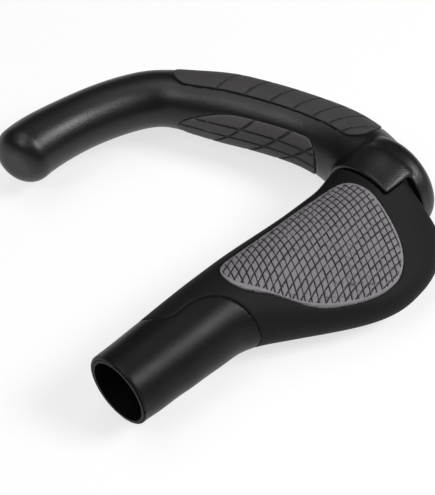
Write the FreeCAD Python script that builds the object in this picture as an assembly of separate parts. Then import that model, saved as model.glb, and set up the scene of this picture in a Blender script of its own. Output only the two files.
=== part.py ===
"""Winged handlebar grip with a long curved bar end, the right-hand one of a pair.

Millimetres. The handlebar's axis is X, and its inboard mouth is at the origin. +Y points forward,
along the bar end, and +Z up. The palm wing points to -Y.
"""
import FreeCAD
import Part
import math
import os

Vector = FreeCAD.Vector
X_AXIS = Vector(1, 0, 0)
Z_AXIS = Vector(0, 0, 1)

# Handlebar and grip core
BAR_RADIUS = 11.1
CORE_WALL = 1.0
CORE_LENGTH = 130.0
COLLET_SLOTS = 4
COLLET_SLOT_WIDTH = 1.5
COLLET_SLOT_LENGTH = 13.0

# Rubber round the handlebar: its radius swells under the palm and narrows at the fingers
MOUTH_RADIUS = 13.1
MOUTH_ROUND = 0.8
BELLY_RADIUS = 14.35
BELLY_START = 46.0
BELLY_END = 54.0
WAIST_RADIUS = 12.9
WAIST_START = 91.0
WAIST_END = 100.0
RUBBER_FORWARD = 0.4
SHOULDER_RADIUS = 16.9

# Palm wing
WING_START = 33.2
WING_PEAK = 97.8
WING_REACH = 37.5
WING_EDGE_RADIUS = 7.8
WING_DROP = 5.0
WING_END = 124.9
WING_CORNER_LENGTH = 28.7
WING_CORNER_DEPTH = 16.9
WING_END_ROUND = 4.5
CROWN_START = 80.0
CROWN_END = 112.0
CROWN_BACK = 5.0
CROWN_HEIGHT = 5.5
CROWN_RADIUS = 9.9
SECTION_STEP = 6.3
SECTION_POINTS = 40
BLEND_SHARPNESS = 1.2

# Hard fin inside the wing
FIN_START = 64.0
FIN_END = 112.0
FIN_THICKNESS = 3.0
FIN_HEIGHT = -3.5
FIN_COVER = 4.0

# Seam between the inboard sleeve and the wing's rubber, seen from above
SEAM_POINTS = [(50.5, -45.0), (50.0, -25.0), (48.3, -15.0), (46.4, -8.0), (42.5, -2.0), (37.2, 1.5),
               (31.0, 2.3), (26.0, 2.6), (22.5, 6.0), (20.5, 11.0), (19.5, 22.0)]

# Palm pad, seen from above, let into the wing
PAD_POINTS = [(49.1, 2.2), (51.4, 6.0), (58.0, 6.9), (72.8, 6.8), (88.0, 7.0), (99.0, 6.0), (106.3, 3.8),
              (109.0, -1.5), (109.5, -9.5), (108.2, -18.0), (104.6, -26.6), (98.0, -31.8), (88.0, -32.1),
              (78.0, -28.7), (66.0, -21.3), (56.5, -10.6)]
PAD_DEPTH = 1.6
PAD_PROUD = 0.25
PAD_BACKING = 0.4

# Horn: its line seen from above, and its section
HORN_LINE = [(121.5, -6.0), (126.2, 6.0), (129.0, 21.0), (126.9, 34.8), (121.2, 50.3), (115.1, 62.9),
             (107.4, 76.0), (99.0, 86.8), (88.3, 92.9), (74.7, 97.1), (60.0, 99.5), (46.0, 99.5),
             (40.2, 98.0)]
LEG_WIDTH = 24.0
LEG_HEIGHT = 26.0
ROOT_WIDTH = 29.0
ROOT_HEIGHT = 33.0
ROOT_LENGTH = 50.0
ROOT_REACH = 30.0
REACH_WIDTH = 20.0
REACH_HEIGHT = 21.4
BEND_SHARES = (0.44, 0.62)
TIP_SWELL = 1.6
TIP_SWELL_START = 0.8
TIP_ROUND = 6.5
HORN_SECTIONS = 22

# Rubber pads on the horn. Their places are shares of the horn's line and angles from straight up,
# outwards positive. An edge has its angle near the root and near the tip, and the corners their lengths.
STRIP_SHARE = (0.127, 0.592)
STRIP_INNER_EDGE = (-19.5, -13.0)
STRIP_OUTER_EDGE = (105.0, 105.0)
STRIP_ENDS = (4.0, 15.0)
STRIP_INNER_CORNERS = (0.036, 0.035)
STRIP_OUTER_CORNERS = (0.1, 0.08)
STRIP_GROOVES = 7
STRIP_FIRST_GROOVE = 0.153
STRIP_GROOVE_STEP = 0.0425
STRIP_STEP_GROWTH = 1.095
STRIP_SLANT = -31.0
FINGER_SHARE = (0.206, 0.565)
FINGER_LOWER_EDGE = (-150.0, -150.0)
FINGER_UPPER_EDGE = (-50.0, -54.0)
FINGER_ENDS = (-99.0, -107.0)
FINGER_LOWER_CORNERS = (0.04, 0.07)
FINGER_UPPER_CORNERS = (0.042, 0.135)
FINGER_GROOVES = 3
FINGER_FIRST_GROOVE = 0.266
FINGER_GROOVE_STEP = 0.077
FINGER_STEP_GROWTH = 1.16
FINGER_SLANT = 45.0
FINGER_LONG_GROOVES = (-76.0, -98.0)
CORNER_POWER = 1.6
HORN_PAD_DEPTH = 1.8
HORN_PAD_PROUD = 0.3
GROOVE_WIDTH = 0.8
GROOVE_DEPTH = 0.7
PAD_SECTIONS = 21
PAD_REACH = 17.0
WEDGE_SIDES = 3
END_FULLNESS = 0.96

# Collar, cap and clamp ring round the collet
COLLAR_START = 113.5
COLLAR_END = 125.2
COLLAR_RADIUS = 18.0
COLLAR_STEP = 0.9
INNER_COLLAR_WALL = 0.8
COLLAR_REAR_ANGLE = 125.0
COLLAR_FRONT_ANGLE = -96.0
REAR_ANGLE = -180.0
TILT_RANGE = 30.0
CAP_END = 134.0
CAP_ROUND = 5.0
CORING_RADIUS = 8.5
CORING_DEPTH = 2.2
SLIDING_GAP = 0.3
CLAMP_GAP = 0.08
RING_START = 119.5
RING_LENGTH = 10.0
RING_WALL = 2.0
RING_SEAT_GAP = 0.2
RING_SLIT = 2.0
EAR_REACH = 26.0
EAR_THICKNESS = 3.5

# Clamp bolt, washer and nut
BOLT_RADIUS = 2.5
BOLT_REACH = 20.7
BOLT_HOLE_GAP = 0.25
HEAD_RADIUS = 4.25
HEAD_HEIGHT = 4.5
HEAD_SOCKET = 4.0
HEAD_SOCKET_DEPTH = 2.5
WASHER_RADIUS = 5.0
WASHER_THICKNESS = 0.8
NUT_FLATS = 8.0
NUT_HEIGHT = 3.5
THREAD_GAP = 0.05
SEAT_GAP = 0.05

# Values that follow from the ones above
CORE_RADIUS = BAR_RADIUS + CORE_WALL
RING_INNER = CORE_RADIUS + CLAMP_GAP
RING_OUTER = RING_INNER + RING_WALL
RING_END = RING_START + RING_LENGTH
HORN_BORE = RING_OUTER + RING_SEAT_GAP
INNER_COLLAR = HORN_BORE + INNER_COLLAR_WALL
BOLT_X = RING_START + RING_LENGTH / 2
FAR = 60.0
SECTOR_INNER = 1.0


def ease(value, start, end):
    """Smooth step from 0 at start to 1 at end."""
    t = min(max((value - start) / (end - start), 0.0), 1.0)
    return t * t * (3 - 2 * t)


def mix(a, b, share):
    return a + (b - a) * share


def polar(x, radius, degrees):
    """Point at X on a circle round the handlebar's axis, its angle counted from +Y towards +Z."""
    angle = math.radians(degrees)
    return Vector(x, radius * math.cos(angle), radius * math.sin(angle))


def cylinder_x(radius, start, end):
    return Part.makeCylinder(radius, end - start, Vector(start, 0, 0), X_AXIS)


def cylinder_z(radius, low, high, x, y):
    return Part.makeCylinder(radius, high - low, Vector(x, y, low), Z_AXIS)


def hexagon(flats, low, high, x, y):
    """Upright hexagonal prism with the given width across its flats."""
    corners = []
    for i in range(7):
        angle = math.radians(60 * i + 30)
        radius = flats / math.sqrt(3)
        corners.append(Vector(x + radius * math.cos(angle), y + radius * math.sin(angle), low))
    return Part.Face(Part.makePolygon(corners)).extrude(Vector(0, 0, high - low))


def sector(start, end, inner, outer, first, last):
    """Part of a ring round the handlebar's axis, from the first angle to the last."""
    middle = (first + last) / 2
    outer_arc = Part.Arc(polar(start, outer, first), polar(start, outer, middle), polar(start, outer, last))
    inner_arc = Part.Arc(polar(start, inner, last), polar(start, inner, middle), polar(start, inner, first))
    edges = [outer_arc.toShape(), Part.makeLine(polar(start, outer, last), polar(start, inner, last)),
             inner_arc.toShape(), Part.makeLine(polar(start, inner, first), polar(start, outer, first))]
    return Part.Face(Part.Wire(edges)).extrude(Vector(end - start, 0, 0))


def plan_prism(points, low, high, closed):
    """Upright prism on a smooth outline; an open one is closed by straight lines on its inboard side."""
    corners = [Vector(x, y, low) for x, y in points]
    curve = Part.BSplineCurve()
    curve.interpolate(corners, PeriodicFlag=closed)
    edges = [curve.toShape()]
    if not closed:
        inboard = -FAR
        first = corners[0]
        last = corners[-1]
        edges.append(Part.makeLine(last, Vector(inboard, last.y, low)))
        edges.append(Part.makeLine(Vector(inboard, last.y, low), Vector(inboard, first.y, low)))
        edges.append(Part.makeLine(Vector(inboard, first.y, low), first))
    return Part.Face(Part.Wire(edges)).extrude(Vector(0, 0, high - low))


def grip_radius(x):
    """Rubber's radius round the handlebar at X."""
    if x < BELLY_END:
        return mix(MOUTH_RADIUS, BELLY_RADIUS, ease(x, 0, BELLY_START))
    if x < WAIST_END:
        return mix(BELLY_RADIUS, WAIST_RADIUS, ease(x, BELLY_END, WAIST_START))
    return mix(WAIST_RADIUS, SHOULDER_RADIUS, ease(x, WAIST_END, COLLAR_END))


def section_circles(x):
    """Circles whose blended hull is the rubber's section at X: centre Y, centre Z, radius and weight."""
    growth = ease(x, WING_START, WING_PEAK)
    grip = grip_radius(x)
    radius = mix(grip, WING_EDGE_RADIUS, growth)
    reach = mix(grip, WING_REACH, growth)
    if x > WING_PEAK:
        share = min((x - WING_PEAK) / WING_CORNER_LENGTH, 1.0)
        reach -= WING_CORNER_DEPTH * (1 - math.sqrt(1 - share * share))
    crown = mix(CROWN_HEIGHT, CROWN_RADIUS, ease(x, CROWN_START, CROWN_END))
    return [(RUBBER_FORWARD, 0.0, grip, 1.0),
            (radius - reach, -WING_DROP * growth, radius, growth),
            (-CROWN_BACK, CROWN_HEIGHT, crown, growth)]


def section_outline(x, inset):
    """Points evenly spaced along the blended hull of the section's circles, from its front."""
    circles = [c for c in section_circles(x) if c[3] > 0]
    steps = 720
    dense = []
    for i in range(steps + 1):
        angle = 2 * math.pi * i / steps
        cos_a = math.cos(angle)
        sin_a = math.sin(angle)
        supports = [y * cos_a + z * sin_a + radius for y, z, radius, weight in circles]
        slopes = [z * cos_a - y * sin_a for y, z, radius, weight in circles]
        highest = max(supports)
        shares = [c[3] * math.exp(BLEND_SHARPNESS * (h - highest)) for c, h in zip(circles, supports)]
        total = sum(shares)
        support = highest + math.log(total) / BLEND_SHARPNESS - inset
        slope = sum(share * value for share, value in zip(shares, slopes)) / total
        dense.append((support * cos_a - slope * sin_a, support * sin_a + slope * cos_a))
    lengths = [0.0]
    for a, b in zip(dense, dense[1:]):
        lengths.append(lengths[-1] + math.hypot(b[0] - a[0], b[1] - a[1]))
    points = []
    k = 0
    for i in range(SECTION_POINTS):
        target = lengths[-1] * i / SECTION_POINTS
        while lengths[k + 1] < target:
            k += 1
        share = (target - lengths[k]) / (lengths[k + 1] - lengths[k])
        before = dense[k]
        after = dense[k + 1]
        points.append(Vector(x, mix(before[0], after[0], share), mix(before[1], after[1], share)))
    return points


def grip_section(x, inset):
    """Closed smooth outline of the rubber at X."""
    curve = Part.BSplineCurve()
    curve.interpolate(section_outline(x, inset), PeriodicFlag=True,
                      Parameters=[float(i) for i in range(SECTION_POINTS + 1)])
    return Part.Wire([curve.toShape()])


def grip_shape(inset, end=WING_END):
    """The whole rubber body with its wing up to an end, smaller all round by the inset."""
    steps = round(end / SECTION_STEP)
    wires = [grip_section(end * i / steps, inset) for i in range(steps + 1)]
    return Part.makeLoft(wires, True, False)


def rounded_grip():
    """The rubber body with its mouth and its outer end rounded."""
    body = grip_shape(0)
    mouth = [e for e in body.Edges if e.BoundBox.XMax < 0.01]
    body = body.makeFillet(MOUTH_ROUND, mouth)
    end = [e for e in body.Edges if e.BoundBox.XMin > WING_END - 0.01]
    return body.makeFillet(WING_END_ROUND, end)


def make_grip_core():
    tube = cylinder_x(CORE_RADIUS, 0, CORE_LENGTH)
    fin_box = Part.makeBox(FIN_END - FIN_START, FAR, FIN_THICKNESS,
                           Vector(FIN_START, -FAR, FIN_HEIGHT - FIN_THICKNESS))
    fin = fin_box.common(grip_shape(FIN_COVER))
    core = tube.fuse(fin)
    core = core.cut(cylinder_x(BAR_RADIUS, -1, CORE_LENGTH + 1))
    slot_start = CORE_LENGTH - COLLET_SLOT_LENGTH
    for i in range(COLLET_SLOTS):
        slot = Part.makeBox(COLLET_SLOT_LENGTH + 1, CORE_RADIUS + 1, COLLET_SLOT_WIDTH,
                            Vector(slot_start, 0, -COLLET_SLOT_WIDTH / 2))
        slot.rotate(Vector(0, 0, 0), X_AXIS, 45 + 360 * i / COLLET_SLOTS)
        core = core.cut(slot)
    return core


def sleeve_side():
    """Everything on the sleeve's side of the seam."""
    return plan_prism(SEAM_POINTS, -FAR, FAR, False)


def collar_space():
    """Room that the horn's collar takes from the rubber, over its whole tilt."""
    inner = INNER_COLLAR + SLIDING_GAP
    start = COLLAR_START - SLIDING_GAP
    edge_gap = math.degrees(SLIDING_GAP / INNER_COLLAR)
    swept = sector(start, WING_END + 1, SECTOR_INNER, FAR, COLLAR_FRONT_ANGLE - TILT_RANGE - edge_gap,
                   COLLAR_REAR_ANGLE + edge_gap)
    return cylinder_x(inner, start, WING_END + 1).fuse(swept)


def make_palm_pad():
    """Pad let into the wing's top, slightly proud of the rubber."""
    outline = plan_prism(PAD_POINTS, FIN_HEIGHT, FAR, True)
    pad = outline.common(grip_shape(-PAD_PROUD)).cut(grip_shape(PAD_DEPTH))
    return pad.cut(cylinder_x(CORE_RADIUS + PAD_BACKING, 0, CORE_LENGTH))


def make_grip_rubber(core, pad):
    """Inboard sleeve and wing, cut from one body along the seam."""
    body = rounded_grip()
    hollow = cylinder_x(CORE_RADIUS, -1, WING_END + 1)
    side = sleeve_side()
    sleeve = body.common(side).cut(hollow)
    wing = body.cut(side).cut(hollow).cut(core).cut(collar_space()).cut(pad)
    return sleeve, wing


def horn_curve():
    curve = Part.BSplineCurve()
    curve.interpolate([Vector(x, y, 0) for x, y in HORN_LINE])
    return curve


def horn_frame(curve, share):
    """Place on the horn's line, the way along it and the way outwards from its bend."""
    distance = curve.length() * share
    place = curve.parameterAtDistance(distance, curve.FirstParameter)
    along = curve.tangent(place)[0]
    return curve.value(place), along, Vector(along.y, -along.x, 0), distance


def horn_size(curve, distance):
    """Half width and half height of the horn at a distance along its line."""
    root = 1 - ease(distance, 0, ROOT_LENGTH)
    bend = ease(distance / curve.length(), *BEND_SHARES)
    tip = TIP_SWELL * ease(distance / curve.length(), TIP_SWELL_START, 1)
    width = mix(LEG_WIDTH, REACH_WIDTH, bend) + (ROOT_WIDTH - LEG_WIDTH) * root + tip
    height = mix(LEG_HEIGHT, REACH_HEIGHT, bend) + (ROOT_HEIGHT - LEG_HEIGHT) * root + tip
    return width / 2, height / 2


def horn_shape(inset):
    """The arm, its bend and its tip, smaller all round by the inset."""
    curve = horn_curve()
    wires = []
    for i in range(HORN_SECTIONS + 1):
        centre, along, outward, distance = horn_frame(curve, i / HORN_SECTIONS)
        half_width, half_height = horn_size(curve, distance)
        upright = Part.Ellipse(Vector(0, 0, inset - half_height), Vector(half_width - inset, 0, 0),
                               Vector(0, 0, 0)).toShape()
        turn = math.degrees(math.atan2(outward.y, outward.x))
        upright.rotate(Vector(0, 0, 0), Z_AXIS, turn)
        upright.translate(centre)
        wires.append(Part.Wire([upright]))
    return Part.makeLoft(wires, True, False)


def tip_edges(shape):
    tip = Vector(HORN_LINE[-1][0], HORN_LINE[-1][1], 0)
    return [e for e in shape.Edges if e.isClosed() and e.CenterOfMass.distanceToPoint(tip) < 1.0]


def corner_share(progress, root_length, far_length):
    """How far a pad's edge is drawn in at a place between its ends: 1 at the ends, 0 past the corners."""
    nearness = max(0.0, 1 - progress / root_length, 1 - (1 - progress) / far_length)
    return 1 - (1 - nearness ** CORNER_POWER) ** (1 / CORNER_POWER)


def pad_places(shares, first_edge, last_edge, ends, first_corners, last_corners):
    """Places along a pad, close together in its corners: a share of the line and the edges' two angles."""
    length = shares[1] - shares[0]
    places = []
    for i in range(PAD_SECTIONS):
        progress = (1 - math.cos(math.pi * i / (PAD_SECTIONS - 1))) / 2
        end = ends[0] if progress < 0.5 else ends[1]
        edges = []
        for edge, corners in ((first_edge, first_corners), (last_edge, last_corners)):
            drawn_in = corner_share(progress, corners[0] / length, corners[1] / length)
            edges.append(mix(mix(edge[0], edge[1], progress), end, drawn_in * END_FULLNESS))
        places.append((mix(shares[0], shares[1], progress), edges[0], edges[1]))
    return places


def horn_wedge(places):
    """Solid along the horn that lies between two angles about its line at each of the places."""
    curve = horn_curve()
    wires = []
    for share, first, last in places:
        centre, along, outward, distance = horn_frame(curve, share)
        corners = [centre]
        for j in range(WEDGE_SIDES + 1):
            angle = math.radians(mix(first, last, j / WEDGE_SIDES))
            corners.append(centre + (outward * math.sin(angle) + Z_AXIS * math.cos(angle)) * PAD_REACH)
        corners.append(centre)
        wires.append(Part.makePolygon(corners))
    return Part.makeLoft(wires, True, True)


def cross_slab(share, slant, leaning):
    """Thin slab across the horn, turned about the upright, or leaned about the way outwards."""
    centre, along, outward, distance = horn_frame(horn_curve(), share)
    slab = Part.makeBox(GROOVE_WIDTH, 2 * PAD_REACH, 2 * PAD_REACH,
                        Vector(-GROOVE_WIDTH / 2, -PAD_REACH, -PAD_REACH))
    slab.rotate(Vector(0, 0, 0), Z_AXIS, math.degrees(math.atan2(along.y, along.x)))
    slab.rotate(Vector(0, 0, 0), outward if leaning else Z_AXIS, slant)
    slab.translate(centre)
    return slab


def groove_shares(first, step, growth, count):
    """Places of a pad's cross grooves, each gap wider than the one before."""
    shares = []
    for i in range(count):
        shares.append(first)
        first += step
        step *= growth
    return shares


def horn_pad(places):
    """Rubber pad let into the horn, slightly proud of it."""
    return horn_wedge(places).common(horn_shape(-HORN_PAD_PROUD)).cut(horn_shape(HORN_PAD_DEPTH))


def strip_blank():
    return horn_pad(pad_places(STRIP_SHARE, STRIP_INNER_EDGE, STRIP_OUTER_EDGE, STRIP_ENDS,
                               STRIP_INNER_CORNERS, STRIP_OUTER_CORNERS))


def finger_blank():
    return horn_pad(pad_places(FINGER_SHARE, FINGER_LOWER_EDGE, FINGER_UPPER_EDGE, FINGER_ENDS,
                               FINGER_LOWER_CORNERS, FINGER_UPPER_CORNERS))


def cut_grooves(pad, tools):
    """Pad with each tool's groove cut to the same depth."""
    floor = horn_shape(GROOVE_DEPTH - HORN_PAD_PROUD)
    for tool in tools:
        pad = pad.cut(tool.common(pad).cut(floor))
    return pad


def make_outer_strip(blank):
    """Segmented strip on the outer side."""
    shares = groove_shares(STRIP_FIRST_GROOVE, STRIP_GROOVE_STEP, STRIP_STEP_GROWTH, STRIP_GROOVES)
    return cut_grooves(blank, [cross_slab(share, STRIP_SLANT, False) for share in shares])


def make_finger_pad(blank):
    """Pad on the inner side, with long grooves and leaning cross grooves."""
    shares = groove_shares(FINGER_FIRST_GROOVE, FINGER_GROOVE_STEP, FINGER_STEP_GROWTH, FINGER_GROOVES)
    tools = [cross_slab(share, FINGER_SLANT, True) for share in shares]
    half = math.degrees(GROOVE_WIDTH / LEG_WIDTH)
    for angle in FINGER_LONG_GROOVES:
        places = []
        for i in range(PAD_SECTIONS):
            share = mix(FINGER_SHARE[0], FINGER_SHARE[1], i / (PAD_SECTIONS - 1))
            places.append((share, angle - half, angle + half))
        tools.append(horn_wedge(places))
    return cut_grooves(blank, tools)


def clamp_pocket():
    """Room inside the horn's root for the ring's ears, the nut, the bolt and its washer."""
    gap = RING_SEAT_GAP
    ear_top = RING_SLIT / 2 + EAR_THICKNESS
    ears = Part.makeBox(RING_LENGTH + 2 * gap, EAR_REACH + gap, 2 * (ear_top + gap),
                        Vector(RING_START - gap, 0, -ear_top - gap))
    nut = hexagon(NUT_FLATS + 2 * gap, 0, ear_top + NUT_HEIGHT + 3 * gap, BOLT_X, BOLT_REACH)
    well = cylinder_z(WASHER_RADIUS + SLIDING_GAP, -FAR, 0, BOLT_X, BOLT_REACH)
    return ears.fuse(nut).fuse(well)


def make_horn_body(strip, finger):
    """Composite bar end: collar and cap round the handlebar, arm, bend and rounded tip."""
    arm = horn_shape(0)
    arm = arm.makeFillet(TIP_ROUND, tip_edges(arm))
    cap = cylinder_x(COLLAR_RADIUS, COLLAR_END, CAP_END)
    rim = [e for e in cap.Edges if e.BoundBox.XMin > CAP_END - 0.01]
    cap = cap.makeFillet(CAP_ROUND, rim)
    inner = cylinder_x(INNER_COLLAR, COLLAR_START, COLLAR_END)
    tongue = sector(COLLAR_START, COLLAR_END + 1, SECTOR_INNER, FAR, COLLAR_FRONT_ANGLE, COLLAR_REAR_ANGLE)
    tongue = tongue.common(grip_shape(-COLLAR_STEP, COLLAR_END + 1))
    arm = arm.cut(cylinder_x(ROOT_REACH, COLLAR_START - ROOT_REACH, COLLAR_START))
    arm = arm.cut(sector(COLLAR_START - 1, COLLAR_END, SECTOR_INNER, FAR, REAR_ANGLE, COLLAR_FRONT_ANGLE))
    horn = arm.fuse(cap).fuse(inner).fuse(tongue)
    bore_end = CORE_LENGTH + SLIDING_GAP
    horn = horn.cut(cylinder_x(HORN_BORE, COLLAR_START - 1, bore_end))
    horn = horn.cut(cylinder_x(CORING_RADIUS, bore_end - 1, bore_end + CORING_DEPTH))
    return horn.cut(clamp_pocket()).cut(strip).cut(finger)


def make_clamp_ring():
    """Split ring with two ears and the bolt's hole."""
    ear_top = RING_SLIT / 2 + EAR_THICKNESS
    ring = cylinder_x(RING_OUTER, RING_START, RING_END)
    ears = Part.makeBox(RING_LENGTH, EAR_REACH, 2 * ear_top, Vector(RING_START, 0, -ear_top))
    slit = Part.makeBox(RING_LENGTH + 2, EAR_REACH + 1, RING_SLIT,
                        Vector(RING_START - 1, 0, -RING_SLIT / 2))
    ring = ring.fuse(ears).cut(cylinder_x(RING_INNER, RING_START - 1, RING_END + 1)).cut(slit)
    return ring.cut(cylinder_z(BOLT_RADIUS + BOLT_HOLE_GAP, -FAR, FAR, BOLT_X, BOLT_REACH))


def make_clamp_nut():
    low = RING_SLIT / 2 + EAR_THICKNESS + SEAT_GAP
    nut = hexagon(NUT_FLATS, low, low + NUT_HEIGHT, BOLT_X, BOLT_REACH)
    return nut.cut(cylinder_z(BOLT_RADIUS + THREAD_GAP, low - 1, low + NUT_HEIGHT + 1, BOLT_X, BOLT_REACH))


def washer_top():
    return -(RING_SLIT / 2 + EAR_THICKNESS + SEAT_GAP)


def make_bolt_washer():
    low = washer_top() - WASHER_THICKNESS
    disc = cylinder_z(WASHER_RADIUS, low, washer_top(), BOLT_X, BOLT_REACH)
    return disc.cut(cylinder_z(BOLT_RADIUS + THREAD_GAP, low - 1, washer_top() + 1, BOLT_X, BOLT_REACH))


def make_clamp_bolt():
    """Socket head cap screw with its head downwards."""
    seat = washer_top() - WASHER_THICKNESS - SEAT_GAP
    low = seat - HEAD_HEIGHT
    end = RING_SLIT / 2 + EAR_THICKNESS + NUT_HEIGHT
    bolt = cylinder_z(HEAD_RADIUS, low, seat, BOLT_X, BOLT_REACH)
    bolt = bolt.fuse(cylinder_z(BOLT_RADIUS, seat, end, BOLT_X, BOLT_REACH))
    return bolt.cut(hexagon(HEAD_SOCKET, low - 1, low + HEAD_SOCKET_DEPTH, BOLT_X, BOLT_REACH))


def save(name, shape):
    """Writes one sub-part and prints what it holds."""
    solids = shape.Solids
    kept = solids[0] if len(solids) == 1 else shape
    print(name, "solids", len(solids), "valid", shape.isValid(), "volume", round(shape.Volume, 1))
    kept.exportStep("parts/" + name + ".step")


def main():
    os.makedirs("parts", exist_ok=True)
    core = make_grip_core()
    pad = make_palm_pad()
    sleeve, wing = make_grip_rubber(core, pad)
    strip = strip_blank()
    finger = finger_blank()
    save("grip_core", core)
    save("palm_pad", pad)
    save("inboard_sleeve", sleeve)
    save("wing_rubber", wing)
    save("outer_strip", make_outer_strip(strip))
    save("finger_pad", make_finger_pad(finger))
    save("horn_body", make_horn_body(strip, finger))
    save("clamp_ring", make_clamp_ring())
    save("clamp_nut", make_clamp_nut())
    save("bolt_washer", make_bolt_washer())
    save("clamp_bolt", make_clamp_bolt())


main()
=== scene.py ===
"""Right-hand handlebar grip with a palm wing and a long bar end, dressed on its engineering model.

Every length is in metres. The handlebar runs along X, the bar end points to +Y and Z is up.
"""
import math

import bpy
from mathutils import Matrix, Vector


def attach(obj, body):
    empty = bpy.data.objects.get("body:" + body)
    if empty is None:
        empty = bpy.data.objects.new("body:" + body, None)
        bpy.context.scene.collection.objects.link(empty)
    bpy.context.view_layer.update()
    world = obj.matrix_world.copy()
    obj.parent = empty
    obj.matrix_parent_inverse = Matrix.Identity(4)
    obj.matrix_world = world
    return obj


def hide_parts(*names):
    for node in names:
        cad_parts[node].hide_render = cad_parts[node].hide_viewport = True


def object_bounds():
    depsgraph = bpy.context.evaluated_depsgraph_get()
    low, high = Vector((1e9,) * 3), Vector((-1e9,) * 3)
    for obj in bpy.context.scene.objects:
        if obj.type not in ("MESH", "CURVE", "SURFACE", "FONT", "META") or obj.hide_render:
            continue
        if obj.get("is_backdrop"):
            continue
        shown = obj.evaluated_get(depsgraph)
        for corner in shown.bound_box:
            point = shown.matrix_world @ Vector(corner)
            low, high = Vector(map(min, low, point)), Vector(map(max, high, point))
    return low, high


bl_info = {
    "name": "Winged Bar End Grip",
    "version": (1, 0, 0),
    "blender": (4, 5, 0),
    "location": "View3D > Sidebar > Bar End",
    "description": "Dresses a winged handlebar grip and its bar end for a studio picture",
    "category": "Add Mesh",
}

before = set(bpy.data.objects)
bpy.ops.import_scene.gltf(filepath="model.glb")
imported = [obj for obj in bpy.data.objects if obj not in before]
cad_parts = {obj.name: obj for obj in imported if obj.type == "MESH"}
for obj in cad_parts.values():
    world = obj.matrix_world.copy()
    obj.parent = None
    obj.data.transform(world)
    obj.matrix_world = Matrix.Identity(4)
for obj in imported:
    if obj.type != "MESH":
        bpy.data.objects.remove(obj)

# The palm pad's outline seen from above, the same one that its solid has
PAD_OUTLINE = ((0.0491, 0.0022), (0.0514, 0.0060), (0.0580, 0.0069), (0.0728, 0.0068), (0.0880, 0.0070),
               (0.0990, 0.0060), (0.1063, 0.0038), (0.1090, -0.0015), (0.1095, -0.0095), (0.1082, -0.0180),
               (0.1046, -0.0266), (0.0980, -0.0318), (0.0880, -0.0321), (0.0780, -0.0287),
               (0.0660, -0.0213), (0.0565, -0.0106))

# A face of the palm pad is part of its top where its normal's Z is more than this
PAD_TOP_SLOPE = 0.35

# The palm pad's two families of curved grooves, which lie at whole numbers of these sums. Each holds the
# shares of v, u, uv, uu and vv, where u and v are the distances from the pad's middle along X and Y.
GRID_MIDDLE = (0.080, -0.010)
GRID_ROWS = (427.5, -66.7, 1033.0, 1789.0, -125.0)
GRID_COLUMNS = (-150.5, 417.0, 2183.0, 1078.0, 2450.0)
NEWTON_STEPS = 8

# How much of the floor's white is its own, as the camera sees it and as gloss mirrors it
FLOOR_GLOW = 0.7
GLOSS_GLOW = 0.8

# Points closer than this are merged, in a copy of a solid and where the palm pad is cut
WELD = 2e-6
CUT_WELD = 1e-6

# The upright prism that parts the palm pad's grid from its rim: its lower end and its height
PRISM_LOW = -0.001
PRISM_HEIGHT = 0.03

# Edges of the palm pad that turn by more than this many degrees are drawn sharp
SHARP_ANGLE = 35

# How far from its middle a groove is fully dark with painted shade, and where that painted shade ends, as
# shares of its width
GROOVE_DARK = 0.42
GROOVE_EDGE = 0.72

# The camera that was fitted to the photograph's outline, with its angles in degrees and its lens in mm
CAMERA_PLACE = (-0.2254, -0.2773, 0.4909)
CAMERA_PITCH = 40.3
CAMERA_TURN = -44.2
CAMERA_LENS = 138.3
SENSOR_WIDTH = 36.0
CLIP_NEAR = 0.01
CLIP_FAR = 20.0

# The place that the lamps face, the floor's side, its gap under the part and the world's light
STAGE_MIDDLE = (0.07, 0.03, 0)
FLOOR_SIDE = 6.0
FLOOR_GAP = 0.0002
WORLD_LIGHT = 0.08

# Each square lamp's name, place, side and power in watts
LAMPS = (("key softbox", (0.50, -0.62, 0.78), 0.4, 10.0),
         ("left softbox", (-0.55, 0.0, 0.90), 0.4, 3.2),
         ("top softbox", (0.05, 0.3, 1.0), 0.7, 3.0))


def colour(name, description, default):
    return bpy.props.FloatVectorProperty(name=name, description=description, default=default, size=3,
                                         subtype="COLOR", min=0.0, max=1.0)


def length(name, description, default):
    return bpy.props.FloatProperty(name=name, description=description, default=default, min=0.0,
                                   precision=5, unit="LENGTH", subtype="DISTANCE")


class BarEndSizes(bpy.types.PropertyGroup):
    """Sizes of the details that the solids leave out."""
    wing_grain: length("Wing face", "Face size of the wing's rubber", 0.00052)
    sleeve_grain: length("Sleeve face", "Face size of the inboard sleeve", 0.0004)
    horn_grain: length("Horn face", "Face size of the moulded bar end", 0.00055)
    pad_grain: length("Horn pad face", "Face size of the rubber pads on the bar end", 0.0003)
    pad_rim: length("Pad rim", "Width of the plain rim round the palm pad's grid", 0.0007)
    grid_pitch: length("Grid pitch", "Usual distance between the palm pad's grooves", 0.0022)
    grid_width: length("Grid groove", "Width of one groove in the palm pad", 0.00038)
    grid_depth: length("Grid depth", "Depth of the palm pad's grooves", 0.0004)


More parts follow.
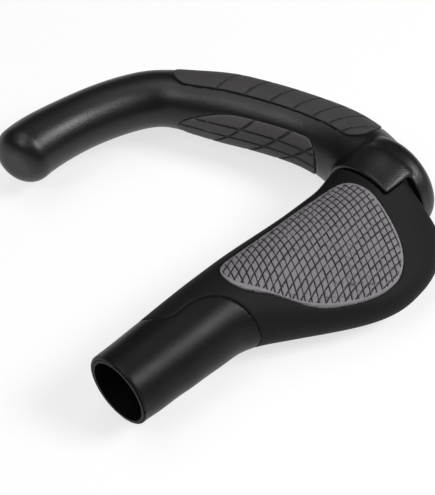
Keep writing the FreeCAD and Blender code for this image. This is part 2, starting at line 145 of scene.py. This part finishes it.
class BarEndColours(bpy.types.PropertyGroup):
    """Colours of the finishes."""
    wing: colour("Wing rubber", "Matte rubber of the wing", (0.0065, 0.0060, 0.0067))
    sleeve: colour("Sleeve rubber", "Satin rubber of the inboard sleeve", (0.0060, 0.0056, 0.0063))
    pad: colour("Palm pad", "Raised tiles of the palm pad", (0.172, 0.160, 0.174))
    rim: colour("Palm pad rim", "Plain rim round the palm pad", (0.18, 0.169, 0.182))
    # The groove colour is painted shade, far darker than the pad's own rubber
    groove: colour("Palm pad groove", "Bottom of the palm pad's grooves", (0.014, 0.013, 0.014))
    horn: colour("Bar end", "Moulded composite", (0.0035, 0.0033, 0.0037))
    strip: colour("Outer strip", "Rubber strip on the bar end's outer side", (0.046, 0.0435, 0.044))
    # Painted light: the finger pad is the outer strip's rubber, given a lighter colour for the light on its
    # side
    finger_pad: colour("Finger pad", "Rubber pad on the bar end's inner side", (0.078, 0.073, 0.073))
    core: colour("Core plastic", "Hard tube inside the grip", (0.003, 0.003, 0.0032))
    ring: colour("Clamp ring", "Aluminium clamp ring", (0.42, 0.42, 0.43))
    steel: colour("Fastener steel", "Plated bolt, nut and washer", (0.38, 0.38, 0.4))
    floor: colour("Floor", "Studio floor", (0.93, 0.93, 0.93))


def only(piece):
    """Leaves one piece selected and active, in object mode."""
    if bpy.context.object is not None and bpy.context.object.mode != "OBJECT":
        bpy.ops.object.mode_set(mode="OBJECT")
    bpy.ops.object.select_all(action="DESELECT")
    piece.select_set(True)
    bpy.context.view_layer.objects.active = piece


def copy_of(node, name):
    """A piece with a mesh of its own in the shape of a solid, with its doubled points merged."""
    piece = bpy.data.objects.new(name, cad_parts[node].data.copy())
    bpy.context.scene.collection.objects.link(piece)
    only(piece)
    bpy.ops.object.mode_set(mode="EDIT")
    bpy.ops.mesh.select_all(action="SELECT")
    bpy.ops.mesh.remove_doubles(threshold=WELD)
    bpy.ops.object.mode_set(mode="OBJECT")
    return piece


def apply(piece, kind, **settings):
    """Adds a modifier with its settings and applies it."""
    only(piece)
    modifier = piece.modifiers.new(kind.title(), kind)
    for key, value in settings.items():
        setattr(modifier, key, value)
    bpy.ops.object.modifier_apply(modifier=modifier.name)


def mould(piece, face, rounds):
    """Gives a piece even faces and eased edges, as rubber and moulded plastic have."""
    apply(piece, "REMESH", mode="VOXEL", voxel_size=face, use_smooth_shade=True)
    apply(piece, "SMOOTH", factor=0.5, iterations=rounds)


def dress(piece, body, slot, finish, *nodes):
    """Puts a finished piece in its material, on its body and in place of its solids."""
    piece.data.materials.clear()
    piece.data.materials.append(finish)
    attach(piece, body)
    if nodes:
        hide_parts(*nodes)


class Wire:
    """A number or colour in a material, so that shader maths reads as sums."""

    def __init__(self, tree, socket):
        self.tree = tree
        self.socket = socket

    def maths(self, operation, *values):
        node = self.tree.nodes.new("ShaderNodeMath")
        node.operation = operation
        for socket, value in zip(node.inputs, values):
            if isinstance(value, Wire):
                self.tree.links.new(value.socket, socket)
            else:
                socket.default_value = value
        return Wire(self.tree, node.outputs[0])

    def __add__(self, other):
        return self.maths("ADD", self, other)

    def __radd__(self, other):
        return self.maths("ADD", other, self)

    def __sub__(self, other):
        return self.maths("SUBTRACT", self, other)

    def __rsub__(self, other):
        return self.maths("SUBTRACT", other, self)

    def __mul__(self, other):
        return self.maths("MULTIPLY", self, other)

    def __rmul__(self, other):
        return self.maths("MULTIPLY", other, self)

    def __abs__(self):
        return self.maths("ABSOLUTE", self)

    def fraction(self):
        return self.maths("FRACT", self)

    def larger(self, other):
        return self.maths("MAXIMUM", self, other)

    def ramp(self, start, end):
        """0 up to start, 1 from end on, and a straight line between."""
        node = self.tree.nodes.new("ShaderNodeMapRange")
        self.tree.links.new(self.socket, node.inputs["Value"])
        node.inputs["From Min"].default_value = start
        node.inputs["From Max"].default_value = end
        return Wire(self.tree, node.outputs[0])


class Finish:
    """One material in the making, with its shader's constant values set first."""

    def __init__(self, name, **constants):
        self.material = bpy.data.materials.new(name)
        self.material.use_nodes = True
        self.tree = self.material.node_tree
        self.shader = self.tree.nodes["Principled BSDF"]
        for key, value in constants.items():
            self.shader.inputs[key.replace("_", " ")].default_value = value

    def node(self, kind, output=0, settings=None, **inputs):
        """Adds a node: its settings come first, then the values and links of its sockets."""
        made = self.tree.nodes.new(kind)
        for key, value in (settings or {}).items():
            setattr(made, key, value)
        for key, value in inputs.items():
            socket = made.inputs[key.replace("_", " ")]
            if isinstance(value, Wire):
                self.tree.links.new(value.socket, socket)
            else:
                socket.default_value = value
        return Wire(self.tree, made.outputs[output])

    def place(self):
        return self.node("ShaderNodeTexCoord", "Object")

    def axes(self):
        """The place's three numbers."""
        split = self.tree.nodes.new("ShaderNodeSeparateXYZ")
        self.tree.links.new(self.place().socket, split.inputs[0])
        return [Wire(self.tree, socket) for socket in split.outputs]

    def noise(self, size, detail=3.0, roughness=0.55):
        """Cloudy noise whose blobs are about this size."""
        return self.node("ShaderNodeTexNoise", "Fac", Vector=self.place(), Scale=1.0 / size, Detail=detail,
                         Roughness=roughness)

    def cells(self, size):
        """Distance to the middle of small cells of about this size, in cells."""
        return self.node("ShaderNodeTexVoronoi", "Distance", Vector=self.place(), Scale=1.0 / size)

    def painted_groove_shade(self, reach):
        """1 deep in a narrow groove and 0 on open skin: a mask for painted shade in the grooves."""
        openness = self.node("ShaderNodeAmbientOcclusion", "AO", {"samples": 8, "only_local": True},
                             Distance=reach)
        return 1 - openness.ramp(start=0.55, end=0.9)

    def blend(self, share, first, second):
        """Colour between two colours."""
        mixer = self.tree.nodes.new("ShaderNodeMix")
        mixer.data_type = "RGBA"
        self.tree.links.new(share.socket, mixer.inputs["Factor"])
        for socket, value in ((mixer.inputs[6], first), (mixer.inputs[7], second)):
            if isinstance(value, Wire):
                self.tree.links.new(value.socket, socket)
            else:
                socket.default_value = (*value, 1.0)
        return Wire(self.tree, mixer.outputs[2])

    def feed(self, **inputs):
        """Links what changes over the surface to the shader."""
        for key, value in inputs.items():
            self.tree.links.new(value.socket, self.shader.inputs[key.replace("_", " ")])

    def relief(self, height, depth, strength):
        """Gives the finish a fine relief and hands its material over."""
        bump = self.node("ShaderNodeBump", Strength=strength, Distance=depth, Height=height)
        self.feed(Normal=bump)
        return self.material


def grid_sum(family, u, v):
    """Which groove of a family runs through a place; whole numbers lie in the middle of a groove."""
    return v * family[0] + u * family[1] + u * v * family[2] + u * u * family[3] + v * v * family[4]


def shade(tone, factor):
    """The same colour, lighter or darker."""
    return tuple(min(1.0, channel * factor) for channel in tone)


def rubber(name, tone, roughness, gloss, grain, depth, groove_shade_reach=None):
    """Moulded rubber: a fine grain, faint clouds where hands have polished it, dust and painted shade in its
    grooves.
    """
    finish = Finish(name, Specular_IOR_Level=gloss)
    clouds = finish.noise(0.009, detail=2.0)
    pores = finish.noise(grain, detail=2.0, roughness=0.6)
    dust = finish.noise(0.0007, roughness=0.7).ramp(start=0.64, end=0.78)
    skin = finish.blend(clouds, shade(tone, 0.86), shade(tone, 1.2))
    skin = finish.blend(dust * 0.5, skin, shade(tone, 3.5))
    if groove_shade_reach:
        # Painted shade: deep, narrow grooves are darkened almost to black
        skin = finish.blend(finish.painted_groove_shade(groove_shade_reach), skin, shade(tone, 0.08))
    finish.feed(Base_Color=skin, Roughness=roughness - 0.07 + clouds * 0.1 + pores * 0.05)
    return finish.relief(pores, depth, strength=0.6)


def composite(name, tone):
    """Fibre-filled plastic: a satin skin with fine pits, short pale fibres and dust."""
    finish = Finish(name, Specular_IOR_Level=0.42)
    pits = finish.cells(0.0009).ramp(start=0.1, end=0.55)
    grain = finish.noise(0.0006, roughness=0.65)
    clouds = finish.noise(0.014, detail=2.0)
    fibres = finish.noise(0.00045, detail=1.0).ramp(start=0.66, end=0.8)
    dust = finish.noise(0.0008, roughness=0.7).ramp(start=0.66, end=0.8)
    skin = finish.blend(clouds * 0.5 + fibres * 0.5, shade(tone, 0.85), shade(tone, 2.2))
    finish.feed(Base_Color=finish.blend(dust * 0.4, skin, shade(tone, 12)),
                Roughness=0.3 + clouds * 0.09 + grain * 0.1)
    return finish.relief(pits * 0.5 + grain * 0.7, depth=0.00006, strength=0.75)


def grooved_pad(name, tone, groove, width):
    """Palm pad: grey tiles with painted shade in the grooves, and a fine matt grain. The width is in cells.
    """
    finish = Finish(name, Specular_IOR_Level=0.3)
    x, y, _ = finish.axes()
    lines = []
    for family in (GRID_ROWS, GRID_COLUMNS):
        across = abs((grid_sum(family, x - GRID_MIDDLE[0], y - GRID_MIDDLE[1]) + 0.5).fraction() - 0.5)
        lines.append(1 - across.ramp(width * GROOVE_DARK, width * GROOVE_EDGE))
    grain = finish.noise(0.0005, roughness=0.6)
    clouds = finish.noise(0.007, detail=2.0)
    tiles = finish.blend(clouds * 0.5 + grain * 0.5, shade(tone, 0.88), shade(tone, 1.14))
    # Painted shade: the grooves take the near-black groove colour
    finish.feed(Base_Color=finish.blend(lines[0].larger(lines[1]), tiles, groove),
                Roughness=0.58 + grain * 0.14)
    return finish.relief(grain, depth=0.00003, strength=0.6)


def plastic(name, tone):
    """Hard plastic with a faint mottling."""
    finish = Finish(name, Specular_IOR_Level=0.12)
    clouds = finish.noise(0.004)
    finish.feed(Base_Color=finish.blend(clouds, shade(tone, 0.8), shade(tone, 1.3)),
                Roughness=0.4 + clouds * 0.2)
    return finish.relief(finish.noise(0.0008), depth=0.00003, strength=0.5)


def metal(name, tone, roughness):
    """Plain metal with a tumbled grain."""
    finish = Finish(name, Metallic=1.0)
    grain = finish.noise(0.0004)
    stains = finish.noise(0.0035)
    finish.feed(Base_Color=finish.blend(stains, shade(tone, 0.8), shade(tone, 1.12)),
                Roughness=roughness + grain * 0.15)
    return finish.relief(grain, depth=0.00002, strength=0.5)


def grid_slopes(family, u, v):
    """How fast a family's sum grows along X and along Y."""
    return family[1] + family[2] * v + 2 * family[3] * u, family[0] + family[2] * u + 2 * family[4] * v


def to_cells(point, pitch):
    """Place counted in the grid's cells, on which its grooves are straight."""
    u = point.x - GRID_MIDDLE[0]
    v = point.y - GRID_MIDDLE[1]
    return Vector((grid_sum(GRID_COLUMNS, u, v) * pitch, grid_sum(GRID_ROWS, u, v) * pitch, point.z))


def from_cells(point, pitch):
    """The place that has these cells, found by Newton's steps."""
    u = 0.0
    v = 0.0
    for _ in range(NEWTON_STEPS):
        column_miss = grid_sum(GRID_COLUMNS, u, v) - point.x / pitch
        row_miss = grid_sum(GRID_ROWS, u, v) - point.y / pitch
        column_u, column_v = grid_slopes(GRID_COLUMNS, u, v)
        row_u, row_v = grid_slopes(GRID_ROWS, u, v)
        area = row_u * column_v - row_v * column_u
        u -= (row_miss * column_v - row_v * column_miss) / area
        v -= (row_u * column_miss - row_miss * column_u) / area
    return Vector((u + GRID_MIDDLE[0], v + GRID_MIDDLE[1], point.z))


def bisect(axis, place):
    """Cuts what is selected along a plane square to an axis."""
    bpy.ops.mesh.select_all(action="SELECT")
    normal = Vector((0, 0, 0))
    normal[axis] = 1.0
    bpy.ops.mesh.bisect(plane_co=normal * place, plane_no=normal, threshold=CUT_WELD)


def groove_miss(place, pitch):
    """Distance from a place to its nearest groove, where the grooves are straight."""
    return abs((place / pitch + 0.5) % 1.0 - 0.5) * pitch


class BarEndPart(bpy.types.Operator):
    """What the operators share."""
    bl_options = {"REGISTER", "UNDO"}

    @property
    def sizes(self):
        return bpy.context.scene.bar_end_sizes

    @property
    def colours(self):
        return bpy.context.scene.bar_end_colours


class BAREND_OT_wing(BarEndPart):
    """Matte rubber body with the palm wing"""
    bl_idname = "barend.wing"
    bl_label = "Wing"

    def execute(self, context):
        wing = copy_of("wing_rubber", "wing")
        mould(wing, self.sizes.wing_grain, rounds=8)
        finish = rubber("wing rubber", self.colours.wing, roughness=0.66, gloss=0.16, grain=0.0007,
                        depth=0.00005)
        dress(wing, "grip", "wing_rubber", finish, "wing_rubber")
        return {"FINISHED"}


class BAREND_OT_sleeve(BarEndPart):
    """Satin rubber sleeve on the inboard end"""
    bl_idname = "barend.sleeve"
    bl_label = "Inboard sleeve"

    def execute(self, context):
        sleeve = copy_of("inboard_sleeve", "sleeve")
        mould(sleeve, self.sizes.sleeve_grain, rounds=8)
        finish = rubber("sleeve rubber", self.colours.sleeve, roughness=0.4, gloss=0.15, grain=0.0009,
                        depth=0.00004)
        dress(sleeve, "grip", "sleeve_rubber", finish, "inboard_sleeve")
        return {"FINISHED"}


class BAREND_OT_palm_pad(BarEndPart):
    """Grey palm pad with its grid of fine curved grooves inside a plain rim"""
    bl_idname = "barend.palm_pad"
    bl_label = "Palm pad"

    def inner_outline(self):
        """Upright prism inside the pad's rim, on a smooth curve through the outline's points."""
        curve = bpy.data.curves.new("pad_outline", "CURVE")
        spline = curve.splines.new("BEZIER")
        spline.bezier_points.add(len(PAD_OUTLINE) - 1)
        spline.use_cyclic_u = True
        spline.resolution_u = 8
        for knot, (x, y) in zip(spline.bezier_points, PAD_OUTLINE):
            knot.co = (x, y, PRISM_LOW)
            knot.handle_left_type = "AUTO"
            knot.handle_right_type = "AUTO"
        ring = bpy.data.objects.new("pad_outline", curve)
        bpy.context.scene.collection.objects.link(ring)
        only(ring)
        bpy.ops.object.convert(target="MESH")
        ring = bpy.context.object
        bpy.ops.object.mode_set(mode="EDIT")
        bpy.ops.mesh.select_all(action="SELECT")
        bpy.ops.mesh.remove_doubles(threshold=CUT_WELD)
        bpy.ops.mesh.edge_face_add()
        bpy.ops.mesh.inset(thickness=self.sizes.pad_rim)
        bpy.ops.mesh.select_all(action="INVERT")
        bpy.ops.mesh.delete(type="VERT")
        bpy.ops.mesh.select_all(action="SELECT")
        bpy.ops.mesh.extrude_region_move(TRANSFORM_OT_translate={"value": (0, 0, PRISM_HEIGHT)})
        bpy.ops.mesh.select_all(action="SELECT")
        bpy.ops.mesh.normals_make_consistent(inside=False)
        bpy.ops.object.mode_set(mode="OBJECT")
        return ring

    def cut_grid(self, grid):
        """Sinks the curved grooves: the piece is unrolled, cut along straight lines and rolled back."""
        pitch = self.sizes.grid_pitch
        half = self.sizes.grid_width / 2
        for vertex in grid.data.vertices:
            vertex.co = to_cells(vertex.co, pitch)
        only(grid)
        spans = []
        for axis in (0, 1):
            reach = [vertex.co[axis] / pitch for vertex in grid.data.vertices]
            spans.append(range(math.floor(min(reach)), math.ceil(max(reach)) + 1))
        bpy.ops.object.mode_set(mode="EDIT")
        for axis in (0, 1):
            for line in spans[axis]:
                bisect(axis, line * pitch - half)
                bisect(axis, line * pitch + half)
        bpy.ops.mesh.select_all(action="DESELECT")
        bpy.ops.object.mode_set(mode="OBJECT")
        for face in grid.data.polygons:
            nearest = min(groove_miss(face.center.x, pitch), groove_miss(face.center.y, pitch))
            face.select = face.normal.z > PAD_TOP_SLOPE and nearest < half
        for vertex in grid.data.vertices:
            vertex.co = from_cells(vertex.co, pitch)
        bpy.ops.object.mode_set(mode="EDIT")
        bpy.ops.mesh.extrude_region_move(TRANSFORM_OT_translate={"value": (0, 0, -self.sizes.grid_depth)})
        bpy.ops.object.mode_set(mode="OBJECT")

    def execute(self, context):
        prism = self.inner_outline()
        rim = copy_of("palm_pad", "palm_pad_rim")
        grid = copy_of("palm_pad", "palm_pad_grid")
        apply(rim, "BOOLEAN", operation="DIFFERENCE", object=prism, solver="EXACT")
        apply(grid, "BOOLEAN", operation="INTERSECT", object=prism, solver="EXACT")
        bpy.data.objects.remove(prism)
        self.cut_grid(grid)
        finish = grooved_pad("palm pad", self.colours.pad, self.colours.groove,
                             self.sizes.grid_width / self.sizes.grid_pitch)
        plain = rubber("palm pad rim", self.colours.rim, roughness=0.6, gloss=0.3, grain=0.0006,
                       depth=0.00003)
        for piece, look in ((rim, plain), (grid, finish)):
            only(piece)
            bpy.ops.object.shade_smooth_by_angle(angle=math.radians(SHARP_ANGLE))
            apply(piece, "WEIGHTED_NORMAL", keep_sharp=True)
            dress(piece, "grip", "palm_pad", look)
        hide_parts("palm_pad")
        return {"FINISHED"}


class BAREND_OT_horn(BarEndPart):
    """Moulded composite bar end with its collar and cap"""
    bl_idname = "barend.horn"
    bl_label = "Bar end"

    def execute(self, context):
        horn = copy_of("horn_body", "horn")
        mould(horn, self.sizes.horn_grain, rounds=6)
        dress(horn, "bar_end", "horn_composite", composite("horn composite", self.colours.horn), "horn_body")
        return {"FINISHED"}


class BAREND_OT_horn_pads(BarEndPart):
    """Segmented outer strip and the finger pad on the bar end"""
    bl_idname = "barend.horn_pads"
    bl_label = "Bar end pads"

    def execute(self, context):
        # The finger pad's lighter colour is painted light on the strip's rubber
        for node, tone in (("outer_strip", self.colours.strip), ("finger_pad", self.colours.finger_pad)):
            pad = copy_of(node, node + "_rubber")
            mould(pad, self.sizes.pad_grain, rounds=1)
            # The pads get painted shade in their grooves, out to 2 mm
            finish = rubber(node + " rubber", tone, roughness=0.66, gloss=0.2, grain=0.0006,
                            depth=0.00005, groove_shade_reach=0.002)
            dress(pad, "bar_end", "horn_rubber", finish, node)
        return {"FINISHED"}


class BAREND_OT_hardware(BarEndPart):
    """Core tube, clamp ring, nut, washer and bolt"""
    bl_idname = "barend.hardware"
    bl_label = "Clamp and core"

    def execute(self, context):
        steel = metal("fastener steel", self.colours.steel, roughness=0.3)
        finishes = {
            "grip_core": plastic("core plastic", self.colours.core),
            "clamp_ring": metal("clamp aluminium", self.colours.ring, roughness=0.34),
            "clamp_nut": steel,
            "bolt_washer": steel,
            "clamp_bolt": steel,
        }
        for node, finish in finishes.items():
            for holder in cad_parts[node].material_slots:
                holder.material = finish
        return {"FINISHED"}


class BAREND_OT_stage(BarEndPart):
    """Pale floor, soft lights and the camera"""
    bl_idname = "barend.stage"
    bl_label = "Stage"

    def floor(self):
        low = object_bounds()[0]
        bpy.ops.object.select_all(action="DESELECT")
        bpy.ops.mesh.primitive_plane_add(size=FLOOR_SIDE,
                                         location=(*STAGE_MIDDLE[:2], low.z - FLOOR_GAP))
        floor = bpy.context.object
        floor.name = "floor"
        finish = Finish("floor", Base_Color=(*self.colours.floor, 1.0), Roughness=0.9,
                        Specular_IOR_Level=0.1)
        camera = finish.node("ShaderNodeLightPath", "Is Camera Ray")
        gloss = finish.node("ShaderNodeLightPath", "Is Glossy Ray")
        glow = finish.node("ShaderNodeEmission", "Emission", Strength=1.0)
        mixer = finish.tree.nodes.new("ShaderNodeMixShader")
        finish.tree.links.new((camera * FLOOR_GLOW + gloss * GLOSS_GLOW).socket, mixer.inputs[0])
        finish.tree.links.new(finish.shader.outputs[0], mixer.inputs[1])
        finish.tree.links.new(glow.socket, mixer.inputs[2])
        finish.tree.links.new(mixer.outputs[0], finish.tree.nodes["Material Output"].inputs["Surface"])
        floor.data.materials.append(finish.material)
        floor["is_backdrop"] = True

    def lamp(self, name, place, side, power):
        bpy.ops.object.light_add(type="AREA", location=place)
        lamp = bpy.context.object
        lamp.name = name
        lamp.data.shape = "SQUARE"
        lamp.data.size = side
        lamp.data.energy = power
        lamp.rotation_euler = (Vector(STAGE_MIDDLE) - Vector(place)).to_track_quat("-Z", "Y").to_euler()

    def camera(self):
        bpy.ops.object.camera_add(location=CAMERA_PLACE,
                                  rotation=(math.radians(CAMERA_PITCH), 0, math.radians(CAMERA_TURN)))
        camera = bpy.context.object
        camera.data.sensor_fit = "AUTO"
        camera.data.sensor_width = SENSOR_WIDTH
        camera.data.lens = CAMERA_LENS
        camera.data.clip_start = CLIP_NEAR
        camera.data.clip_end = CLIP_FAR
        bpy.context.scene.camera = camera

    def execute(self, context):
        self.floor()
        for lamp in LAMPS:
            self.lamp(*lamp)
        world = bpy.data.worlds.new("studio")
        bpy.context.scene.world = world
        world.use_nodes = True
        world.node_tree.nodes["Background"].inputs["Color"].default_value = (1, 1, 1, 1)
        world.node_tree.nodes["Background"].inputs["Strength"].default_value = WORLD_LIGHT
        bpy.context.scene.view_settings.view_transform = "Standard"
        self.camera()
        return {"FINISHED"}


PARTS = (BAREND_OT_wing, BAREND_OT_sleeve, BAREND_OT_palm_pad, BAREND_OT_horn, BAREND_OT_horn_pads,
         BAREND_OT_hardware, BAREND_OT_stage)


class BAREND_PT_parts(bpy.types.Panel):
    """Lists the pieces, their sizes and their colours"""
    bl_idname = "BAREND_PT_parts"
    bl_label = "Bar End"
    bl_space_type = "VIEW_3D"
    bl_region_type = "UI"
    bl_category = "Bar End"

    def draw(self, context):
        for group in (context.scene.bar_end_sizes, context.scene.bar_end_colours):
            for key in group.bl_rna.properties.keys():
                if key not in ("rna_type", "name"):
                    self.layout.prop(group, key)
        for part in PARTS:
            self.layout.operator(part.bl_idname)


CLASSES = (BarEndSizes, BarEndColours, *PARTS, BAREND_PT_parts)


def register():
    for cls in CLASSES:
        bpy.utils.register_class(cls)
    bpy.types.Scene.bar_end_sizes = bpy.props.PointerProperty(type=BarEndSizes)
    bpy.types.Scene.bar_end_colours = bpy.props.PointerProperty(type=BarEndColours)


def unregister():
    del bpy.types.Scene.bar_end_colours
    del bpy.types.Scene.bar_end_sizes
    for cls in reversed(CLASSES):
        bpy.utils.unregister_class(cls)


def main():
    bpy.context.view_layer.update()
    register()
    bpy.ops.barend.wing()
    bpy.ops.barend.sleeve()
    bpy.ops.barend.palm_pad()
    bpy.ops.barend.horn()
    bpy.ops.barend.horn_pads()
    bpy.ops.barend.hardware()
    bpy.ops.barend.stage()


if __name__ == "__main__":
    main()
